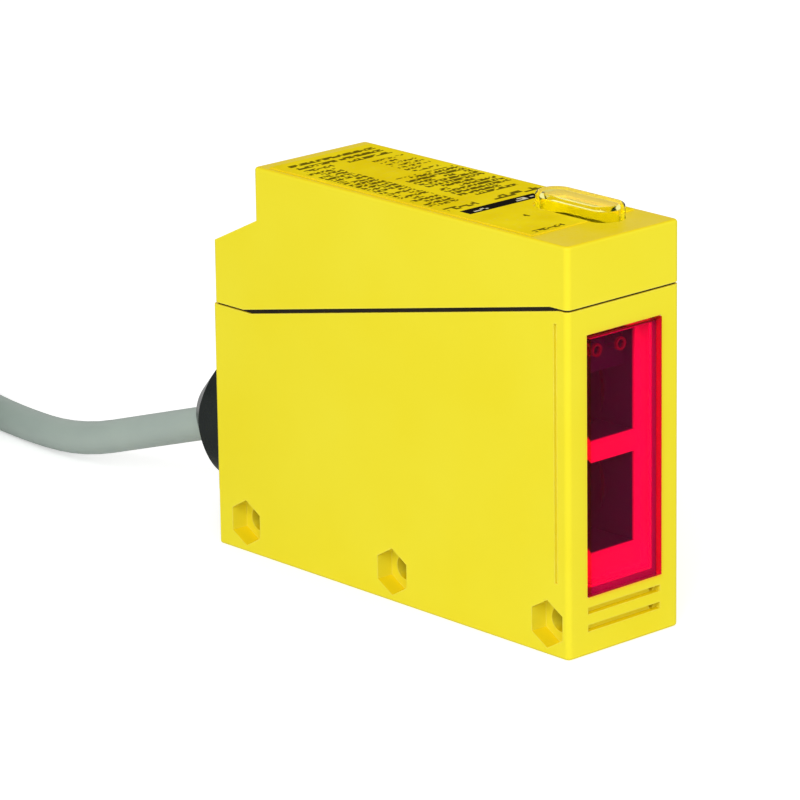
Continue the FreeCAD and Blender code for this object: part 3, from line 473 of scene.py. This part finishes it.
# %% Small mouldings inside
chip_black = moulded("chip_black", (0.015, 0.015, 0.017), (0.022, 0.022, 0.024), (0.45, 0.6),
                     grain_size=0.08, grain_depth=0.008, flow_size=3.0, edge=0.2)
dress(chip_black, "control_chip", "regulator_chip", "receiver_photodiode", "potentiometer_body")
ivory = moulded("connector_ivory", (0.72, 0.69, 0.58), (0.66, 0.63, 0.52), (0.35, 0.5),
                grain_size=0.2, flow_size=5.0, edge=0.2)
dress(ivory, "board_connector", "potentiometer_rotor")
link_amber = moulded("link_amber", (0.5, 0.2, 0.03), (0.42, 0.16, 0.025), (0.2, 0.3),
                     grain_size=0.4, flow_size=2.0, edge=0.1)
dress(link_amber, "optics_link", "board_link")

# %% [markdown]
# The optics carrier is seen through the window. Its face is pale, and the inside of its two
# chambers is painted a violet black so that stray light dies there. Depth behind the face tells
# one from the other: the mask compares the place along Y with the face of the carrier. The two
# posts above the upper lens are darker than the face, which a box around them marks.

# %% Optics carrier
post_tone = (0.16, 0.1, 0.14, 1)
chamber_paint = (0.02, 0.003, 0.2, 1)
paint_begins, paint_full = 0.25, 0.55
posts_reach = 6.0
carrier_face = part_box("optics_carrier")[0][1] * MM_IN_A_METRE
carrier = moulded("carrier_pale", (0.86, 0.84, 0.84), (0.82, 0.8, 0.8), (0.5, 0.65),
                  grain_size=0.3, flow_size=6.0, edge=0.2, specular=0.04)
tree = carrier.node_tree
shader = tree.nodes["Principled BSDF"]
carrier_place = use(tree, millimetres)
painted = span(tree, carrier_place["Y"], carrier_face + paint_begins, carrier_face + paint_full)
pale_colour = shader.inputs["Base Color"].links[0].from_socket
lens_low, lens_high = [Vector(corner) * MM_IN_A_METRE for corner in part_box("emitter_lens")]
above_lens = inside(tree, carrier_place["Z"], lens_high.z, lens_high.z + posts_reach)
at_posts = maths(tree, "MULTIPLY", above_lens,
                 inside(tree, carrier_place["X"], lens_low.x, lens_high.x))
toned = mixed(tree, at_posts, pale_colour, post_tone)
tree.links.new(mixed(tree, painted, toned, chamber_paint), shader.inputs["Base Color"])
dress(carrier, "optics_carrier")
print("carrier's face in mm along Y:", round(carrier_face, 2))

# %% [markdown]
# ## Clear plastics
#
# The window is red acrylic, the dome and the lenses are clear. All are Principled shaders: the
# dome and the lenses transmit everything, and the window nearly so. The picture shows hardly any
# sheen on these, so their index of refraction is lower than that of real acrylic. The two
# indicator lamps transmit half and keep acrylic's own index. Light that comes straight through
# such a shader is hard for a path tracer to find, so for shadow rays alone the material turns
# plain see-through in a tint of its own, and lamps reach what lies behind. Light Path has to stay
# in the material, beside the shader.

# %% A function for clear plastics
RIPPLE_STRENGTH = 0.3
RIPPLE_DEPTH = 0.01 * MM
SMUDGE_ROUGHNESS = 0.04
DEEPER_SHARE = 0.96


def clear_plastic(name, tint, shadow_tint, roughness, ior=1.49, transmission=1.0,
                  edge_highlight_tint=None, edge_roughness=0.0):
    """A see-through moulding with faint ripples and smudges, and edges painted in another tint as a
    highlight if wanted.
    """
    material = bpy.data.materials.new(name)
    material.use_nodes = True
    tree = material.node_tree
    shader = tree.nodes["Principled BSDF"]
    marks = use(tree, skin, {"Grain Size": 2.5, "Flow Size": 9.0})
    deeper = tuple(c * DEEPER_SHARE for c in tint)
    body = mixed(tree, marks["Flow"], (*tint, 1), (*deeper, 1))
    edges = use(tree, edge_highlight_mask, {"Reach": 0.3})["Mask"]
    # The edges are painted in the edge tint as a highlight.
    tree.links.new(mixed(tree, edges, body, (*(edge_highlight_tint or tint), 1)), shader.inputs["Base Color"])
    smudged = span(tree, marks["Gloss"], 0.0, 1.0, roughness, roughness + SMUDGE_ROUGHNESS)
    tree.links.new(maths(tree, "ADD", smudged, maths(tree, "MULTIPLY", edges, edge_roughness)),
                   shader.inputs["Roughness"])
    bump = add(tree, "ShaderNodeBump", {"Height": marks["Grain"], "Strength": RIPPLE_STRENGTH,
                                        "Distance": RIPPLE_DEPTH})
    tree.links.new(bump.outputs[0], shader.inputs["Normal"])
    shader.inputs["IOR"].default_value = ior
    shader.inputs["Transmission Weight"].default_value = transmission
    see_through = add(tree, "ShaderNodeBsdfTransparent", {"Color": (*shadow_tint, 1)})
    ray = add(tree, "ShaderNodeLightPath").outputs["Is Shadow Ray"]
    either = add(tree, "ShaderNodeMixShader",
                 {0: ray, 1: shader.outputs[0], 2: see_through.outputs[0]})
    tree.links.new(either.outputs[0], tree.nodes["Material Output"].inputs["Surface"])
    return material


# %% [markdown]
# The window's rim, a quarter of a millimetre wide, is painted a darker, browner red as the shade
# of the rebate around it. A box around the clear field tells the rim from the rest.

# %% Red window
# Painted shade of the rebate along the window's rim.
painted_rim_shade = (0.72, 0.1, 0.02, 1)
rim_width = 0.25
window_red = clear_plastic("window_red", (1.0, 0.002, 0.2), (1.0, 0.02, 0.55), 0.02, ior=1.12,
                           transmission=0.985)
tree = window_red.node_tree
shader = tree.nodes["Principled BSDF"]
window_place = use(tree, millimetres)
within_sides = inside(tree, window_place["X"], window_low.x + rim_width, window_high.x - rim_width)
within_ends = inside(tree, window_place["Z"], window_low.z + rim_width, window_high.z - rim_width)
clear_field = maths(tree, "MULTIPLY", within_sides, within_ends)
plain_red = shader.inputs["Base Color"].links[0].from_socket
# The rim is painted the darker red of that shade.
tree.links.new(mixed(tree, clear_field, painted_rim_shade, plain_red), shader.inputs["Base Color"])
dress(window_red, "front_window")

# %% Dome, lenses and lamps
# The dome's edges are painted near white as highlight lines, and are also rougher.
dome_clear = clear_plastic("dome_clear", (0.97, 0.93, 0.34), (1.0, 0.99, 0.88), 0.02, ior=1.12,
                           edge_highlight_tint=(1.0, 1.0, 0.85), edge_roughness=0.35)
dress(dome_clear, "indicator_dome")
lens_clear = clear_plastic("lens_clear", (0.86, 0.86, 0.9), (0.75, 0.75, 0.8), 0.02, ior=1.15)
dress(lens_clear, "emitter_lens", "receiver_lens", "emitter_led")
lamp_green = clear_plastic("lamp_green", (0.55, 0.8, 0.5), (0.4, 0.6, 0.35), 0.08, transmission=0.5)
dress(lamp_green, "power_led")
lamp_amber = clear_plastic("lamp_amber", (0.95, 0.6, 0.12), (0.8, 0.45, 0.1), 0.08, transmission=0.5)
dress(lamp_amber, "output_led")

# %% [markdown]
# ## Metals
#
# The adjuster is turned brass, the screws are plated steel, the can of the capacitor is drawn
# aluminium and the wire ends are tinned. Turning and drawing leave fine rings, which the group
# below makes from stretched noise.

# %% Tool marks on metal
tool_marks, taken, given = start_group(
    "tool_marks", {"Across": 0.05, "Along": 2.0}, ["Tone", "Height"])
place = add(tool_marks, "ShaderNodeTexCoord").outputs["Object"]
across = maths(tool_marks, "DIVIDE", MM_IN_A_METRE, taken["Across"])
along = maths(tool_marks, "DIVIDE", MM_IN_A_METRE, taken["Along"])
stretch = add(tool_marks, "ShaderNodeCombineXYZ", {0: along, 1: across, 2: along}).outputs[0]
stretched = add(tool_marks, "ShaderNodeVectorMath", {0: place, 1: stretch}, operation="MULTIPLY")
lines = add(tool_marks, "ShaderNodeTexNoise",
            {"Vector": stretched.outputs[0], "Scale": 1.0, "Detail": 3.0})
tool_marks.links.new(span(tool_marks, lines.outputs[0], 0.3, 0.7), given["Tone"])
tool_marks.links.new(lines.outputs[0], given["Height"])
print("group made:", tool_marks.name)


# %% A function for metals, and the four metals
MARK_STRENGTH = 0.3
MARK_DEPTH = 0.005 * MM
MARK_ROUGHNESS = 0.12
MARK_TONE_SHARE = 0.6


def metal(name, colour, mark_and_highlight_colour, roughness, mark_width=0.05):
    """A bare metal with tool marks, and edges painted brighter as a highlight."""
    material = bpy.data.materials.new(name)
    material.use_nodes = True
    tree = material.node_tree
    shader = tree.nodes["Principled BSDF"]
    marks = use(tree, tool_marks, {"Across": mark_width})
    edges = use(tree, edge_highlight_mask, {"Reach": 0.15})["Mask"]
    # The second colour serves the tool marks and, on the edges, a painted highlight.
    tone = maths(tree, "MAXIMUM", maths(tree, "MULTIPLY", marks["Tone"], MARK_TONE_SHARE), edges)
    tree.links.new(mixed(tree, tone, (*colour, 1), (*mark_and_highlight_colour, 1)), shader.inputs["Base Color"])
    tree.links.new(span(tree, marks["Tone"], 0.0, 1.0, roughness, roughness + MARK_ROUGHNESS),
                   shader.inputs["Roughness"])
    bump = add(tree, "ShaderNodeBump", {"Height": marks["Height"], "Strength": MARK_STRENGTH,
                                        "Distance": MARK_DEPTH})
    tree.links.new(bump.outputs[0], shader.inputs["Normal"])
    shader.inputs["Metallic"].default_value = 1.0
    return material


brass = metal("turned_brass", (0.62, 0.42, 0.16), (0.8, 0.62, 0.3), 0.26)
dress(brass, "adjuster_screw")
steel = metal("plated_steel", (0.5, 0.51, 0.53), (0.7, 0.7, 0.72), 0.3)
dress(steel, "board_screws", "indicator_board_screws")
can = metal("drawn_can", (0.66, 0.67, 0.69), (0.8, 0.8, 0.82), 0.28, mark_width=0.12)
dress(can, "capacitor")
tinned = metal("tinned_wire", (0.6, 0.59, 0.56), (0.75, 0.74, 0.72), 0.35, mark_width=0.2)
dress(tinned, "lead_tips")

# %% [markdown]
# ## Circuit boards
#
# A board is green laminate with copper tracks under the lacquer. Tracks run along and across in
# steps, so the pattern quantises the place into a grid and lets noise choose which cells join.

# %% Tracks under lacquer
pitches_in_a_cell = 6.0
track_half_width = 0.17
track_seed = 3.0
cells_left_out = 0.35
board_tracks, taken, given = start_group("board_tracks", {"Pitch": 1.3}, ["Track", "Pad"])
axes = use(board_tracks, millimetres)
directions = {"lengthways": (axes["Y"], axes["Z"]), "crossways": (axes["X"], axes["Y"])}
rows = {}
for key, (first, second) in directions.items():
    cell_length = maths(board_tracks, "MULTIPLY", taken["Pitch"], pitches_in_a_cell)
    cell_a = maths(board_tracks, "DIVIDE", first, cell_length)
    cell_b = maths(board_tracks, "DIVIDE", second, taken["Pitch"])
    cell = add(board_tracks, "ShaderNodeCombineXYZ", {
        0: maths(board_tracks, "FLOOR", cell_a),
        1: maths(board_tracks, "FLOOR", cell_b),
        2: track_seed})
    dice = add(board_tracks, "ShaderNodeTexWhiteNoise", {"Vector": cell.outputs[0]})
    middle = maths(board_tracks, "ABSOLUTE",
                   maths(board_tracks, "SUBTRACT", maths(board_tracks, "FRACT", cell_b), 0.5))
    narrow = maths(board_tracks, "LESS_THAN", middle, track_half_width)
    kept_cell = maths(board_tracks, "GREATER_THAN", dice.outputs["Value"], cells_left_out)
    rows[key] = maths(board_tracks, "MULTIPLY", narrow, kept_cell)
both = maths(board_tracks, "MAXIMUM", rows["lengthways"], rows["crossways"])
crossing = maths(board_tracks, "MULTIPLY", rows["lengthways"], rows["crossways"])
board_tracks.links.new(both, given["Track"])
board_tracks.links.new(crossing, given["Pad"])
print("group made:", board_tracks.name)

# %% Green laminate
copper_green = (0.05, 0.26, 0.09, 1)
solder = (0.7, 0.68, 0.6, 1)
laminate = moulded("green_laminate", (0.012, 0.12, 0.045), (0.016, 0.14, 0.055), (0.2, 0.32),
                   grain_size=0.5, flow_size=8.0, edge=0.3)
tree = laminate.node_tree
shader = tree.nodes["Principled BSDF"]
copper = use(tree, board_tracks)
lacquer = shader.inputs["Base Color"].links[0].from_socket
over_copper = mixed(tree, copper["Track"], lacquer, copper_green)
tree.links.new(mixed(tree, copper["Pad"], over_copper, solder), shader.inputs["Base Color"])
dress(laminate, "optics_board", "main_board", "indicator_board")

# %% [markdown]
# ## The label
#
# A yellow foil with small dark print covers most of the top. The real print is lettering, and
# here its place is taken by plain marks that only look like rows of small type from afar. One
# group prints a block: it cuts the block into rows, the rows into words and the words into
# strokes, and lets noise leave some out. The material then places seven such blocks, and a dark
# band with a few pale spots.

# %% A block of plain printed marks
about_a_third = 0.34
strokes_in_a_word = 5.3
words_kept = 0.86
word_seed = 9.0
printed_block, taken, given = start_group(
    "printed_block",
    {"X": 0.0, "Y": 0.0, "Left": -1.0, "Right": 1.0, "Front": -1.0, "Rear": 1.0,
     "Row Pitch": 1.3, "Ink Share": 0.55, "Stroke": 0.35, "Kept": 0.6},
    ["Ink"])
row = maths(printed_block, "DIVIDE",
            maths(printed_block, "SUBTRACT", taken["Y"], taken["Front"]), taken["Row Pitch"])
row_number = maths(printed_block, "FLOOR", row)
row_share = maths(printed_block, "FRACT", row)
stroke = maths(printed_block, "DIVIDE", taken["X"], taken["Stroke"])
part_of_stroke = maths(printed_block, "FLOOR",
                       maths(printed_block, "DIVIDE", row_share,
                             maths(printed_block, "MULTIPLY", taken["Ink Share"], about_a_third)))
stroke_cell = add(printed_block, "ShaderNodeCombineXYZ", {
    0: maths(printed_block, "FLOOR", stroke), 1: row_number, 2: part_of_stroke})
stroke_chance = add(printed_block, "ShaderNodeTexWhiteNoise", {"Vector": stroke_cell.outputs[0]})
word = maths(printed_block, "DIVIDE", stroke, strokes_in_a_word)
word_cell = add(printed_block, "ShaderNodeCombineXYZ", {
    0: maths(printed_block, "FLOOR", word), 1: row_number, 2: word_seed})
word_chance = add(printed_block, "ShaderNodeTexWhiteNoise", {"Vector": word_cell.outputs[0]})
kept_stroke = maths(printed_block, "LESS_THAN", stroke_chance.outputs["Value"], taken["Kept"])
kept_word = maths(printed_block, "LESS_THAN", word_chance.outputs["Value"], words_kept)
in_row = maths(printed_block, "LESS_THAN", row_share, taken["Ink Share"])
in_block = maths(printed_block, "MULTIPLY",
                 inside(printed_block, taken["X"], taken["Left"], taken["Right"]),
                 inside(printed_block, taken["Y"], taken["Front"], taken["Rear"]))
ink = maths(printed_block, "MULTIPLY", maths(printed_block, "MULTIPLY", kept_stroke, kept_word),
            maths(printed_block, "MULTIPLY", in_row, in_block))
printed_block.links.new(ink, given["Ink"])
print("group made:", printed_block.name)

# %% Label foil with its print
ink_brown = (0.035, 0.022, 0.004, 1)
band_black = (0.012, 0.01, 0.008, 1)
spot_pale = (0.85, 0.8, 0.6, 1)
ink_cover, spot_cover = 0.85, 0.8
band_left, band_right, band_front, band_rear = -7.6, 5.8, -14.3, -12.2
pale_left, pale_right = 6.1, 8.2
label = moulded("label_foil", (0.95, 0.76, 0.012), (0.87, 0.65, 0.006), (0.55, 0.65),
                grain_size=0.3, grain_depth=0.003, flow_size=6.0, edge=0.1, dust=0.05, specular=0.0)
tree = label.node_tree
shader = tree.nodes["Principled BSDF"]
label_place = use(tree, millimetres)
blocks = {
    "rows along the near edge": (-8.6, -3.4, -8.0, 17.0, 1.2, 0.72, 0.34, 0.7),
    "rows at the rear": (-7.6, 8.0, 17.6, 22.7, 1.7, 0.6, 0.5, 0.72),
    "rows on the far half": (-1.8, 8.8, -7.6, 6.5, 1.25, 0.75, 0.36, 0.72),
    "short rows behind them": (2.5, 8.2, 7.5, 16.0, 1.3, 0.6, 0.36, 0.5),
    "large marks": (-8.4, 8.8, -11.2, -9.6, 1.6, 0.95, 0.55, 0.62),
    "short row beside the dome": (-3.3, -0.6, -20.5, -19.1, 1.4, 0.85, 0.5, 0.75),
    "row at the front": (-8.0, -0.3, -27.0, -25.9, 1.1, 0.85, 0.5, 0.75),
}
ink = 0.0
for left, far_edge, front, rear, pitch, share, width, kept in blocks.values():
    marks = use(tree, printed_block, {
        "X": label_place["X"], "Y": label_place["Y"], "Left": left, "Right": far_edge,
        "Front": front, "Rear": rear, "Row Pitch": pitch, "Ink Share": share, "Stroke": width,
        "Kept": kept})
    ink = maths(tree, "MAXIMUM", ink, marks["Ink"])
band_across = inside(tree, label_place["Y"], band_front, band_rear)
band = maths(tree, "MULTIPLY", band_across, inside(tree, label_place["X"], band_left, band_right))
pale_end = maths(tree, "MULTIPLY", band_across, inside(tree, label_place["X"], pale_left, pale_right))
band_spots = use(tree, printed_block, {
    "X": label_place["X"], "Y": label_place["Y"], "Left": -6.8, "Right": 5.0, "Front": -13.8,
    "Rear": -12.7, "Row Pitch": 1.1, "Ink Share": 0.95, "Stroke": 0.7, "Kept": 0.45})["Ink"]
foil = shader.inputs["Base Color"].links[0].from_socket
inked = mixed(tree, maths(tree, "MULTIPLY", ink, ink_cover), foil, ink_brown)
banded = mixed(tree, band, inked, band_black)
spotted = mixed(tree, maths(tree, "MULTIPLY", band_spots, spot_cover), banded, spot_pale)
tree.links.new(mixed(tree, pale_end, spotted, spot_pale), shader.inputs["Base Color"])
dress(label, "top_label")
print("printed blocks:", len(blocks))

# %% [markdown]
# ## Floor and light
#
# The picture has a plain white ground and soft light with no hard shadow. The floor is a large
# pale sheet. To the camera and through clear plastics it also glows, so that it reads as white
# while it still takes the object's shadow. Glossy reflections get a fifth of that glow. The sky
# is brighter to those rays in the same way. It and two soft lamps light the object.

# %% Floor
floor_half = 2.5
floor_glow = 0.5
glossy_share = 0.2
floor_mesh = bpy.data.meshes.new("floor")
floor_corners = [(-floor_half, -floor_half, 0), (floor_half, -floor_half, 0),
                 (floor_half, floor_half, 0), (-floor_half, floor_half, 0)]
floor_mesh.from_pydata(floor_corners, [], [(0, 1, 2, 3)])
floor = bpy.data.objects.new("floor", floor_mesh)
bpy.context.scene.collection.objects.link(floor)


def backdrop_rays(tree):
    """1 for rays that see the backdrop straight or through clear plastic, and a little off gloss."""
    path = add(tree, "ShaderNodeLightPath").outputs
    seen = maths(tree, "MAXIMUM", path["Is Camera Ray"], path["Is Transmission Ray"])
    return maths(tree, "MAXIMUM", seen, maths(tree, "MULTIPLY", path["Is Glossy Ray"], glossy_share))


paper = bpy.data.materials.new("white_paper")
paper.use_nodes = True
tree = paper.node_tree
shader = tree.nodes["Principled BSDF"]
shader.inputs["Base Color"].default_value = (0.86, 0.86, 0.86, 1)
shader.inputs["Roughness"].default_value = 0.9
shader.inputs["Specular IOR Level"].default_value = 0.1
glow_strength = maths(tree, "MULTIPLY", backdrop_rays(tree), floor_glow)
glow = add(tree, "ShaderNodeEmission", {"Strength": glow_strength})
sheet = add(tree, "ShaderNodeAddShader", {0: shader.outputs[0], 1: glow.outputs[0]})
tree.links.new(sheet.outputs[0], tree.nodes["Material Output"].inputs["Surface"])
floor_mesh.materials.append(paper)

# %% Sky and lamps
world = bpy.data.worlds.new("soft_sky")
bpy.context.scene.world = world
world.use_nodes = True
tree = world.node_tree
sky_level = 0.54
strength = span(tree, backdrop_rays(tree), 0.0, 1.0, sky_level, 1.0)
tree.links.new(strength, tree.nodes["Background"].inputs["Strength"])
tree.nodes["Background"].inputs["Color"].default_value = (1, 1, 1, 1)


def soft_lamp(name, place, size, power):
    """A square soft lamp that faces the middle of the object."""
    data = bpy.data.lights.new(name, "AREA")
    data.size = size
    data.energy = power
    lamp = bpy.data.objects.new(name, data)
    lamp.location = place
    aim = look_at - Vector(place)
    lamp.rotation_euler = aim.to_track_quat("-Z", "Y").to_euler()
    bpy.context.scene.collection.objects.link(lamp)
    print(name, "at", place, "with", power, "W")


soft_lamp("key_lamp", (-0.72, -0.56, 0.6), size=0.6, power=6.4)
soft_lamp("front_lamp", (0.25, -0.9, 0.35), size=0.5, power=1.0)

# %% [markdown]
# ## Last steps
#
# The colours are written as they should look, so the view transform is the plain one.

# %% View and the end
bpy.context.scene.view_settings.view_transform = "Standard"
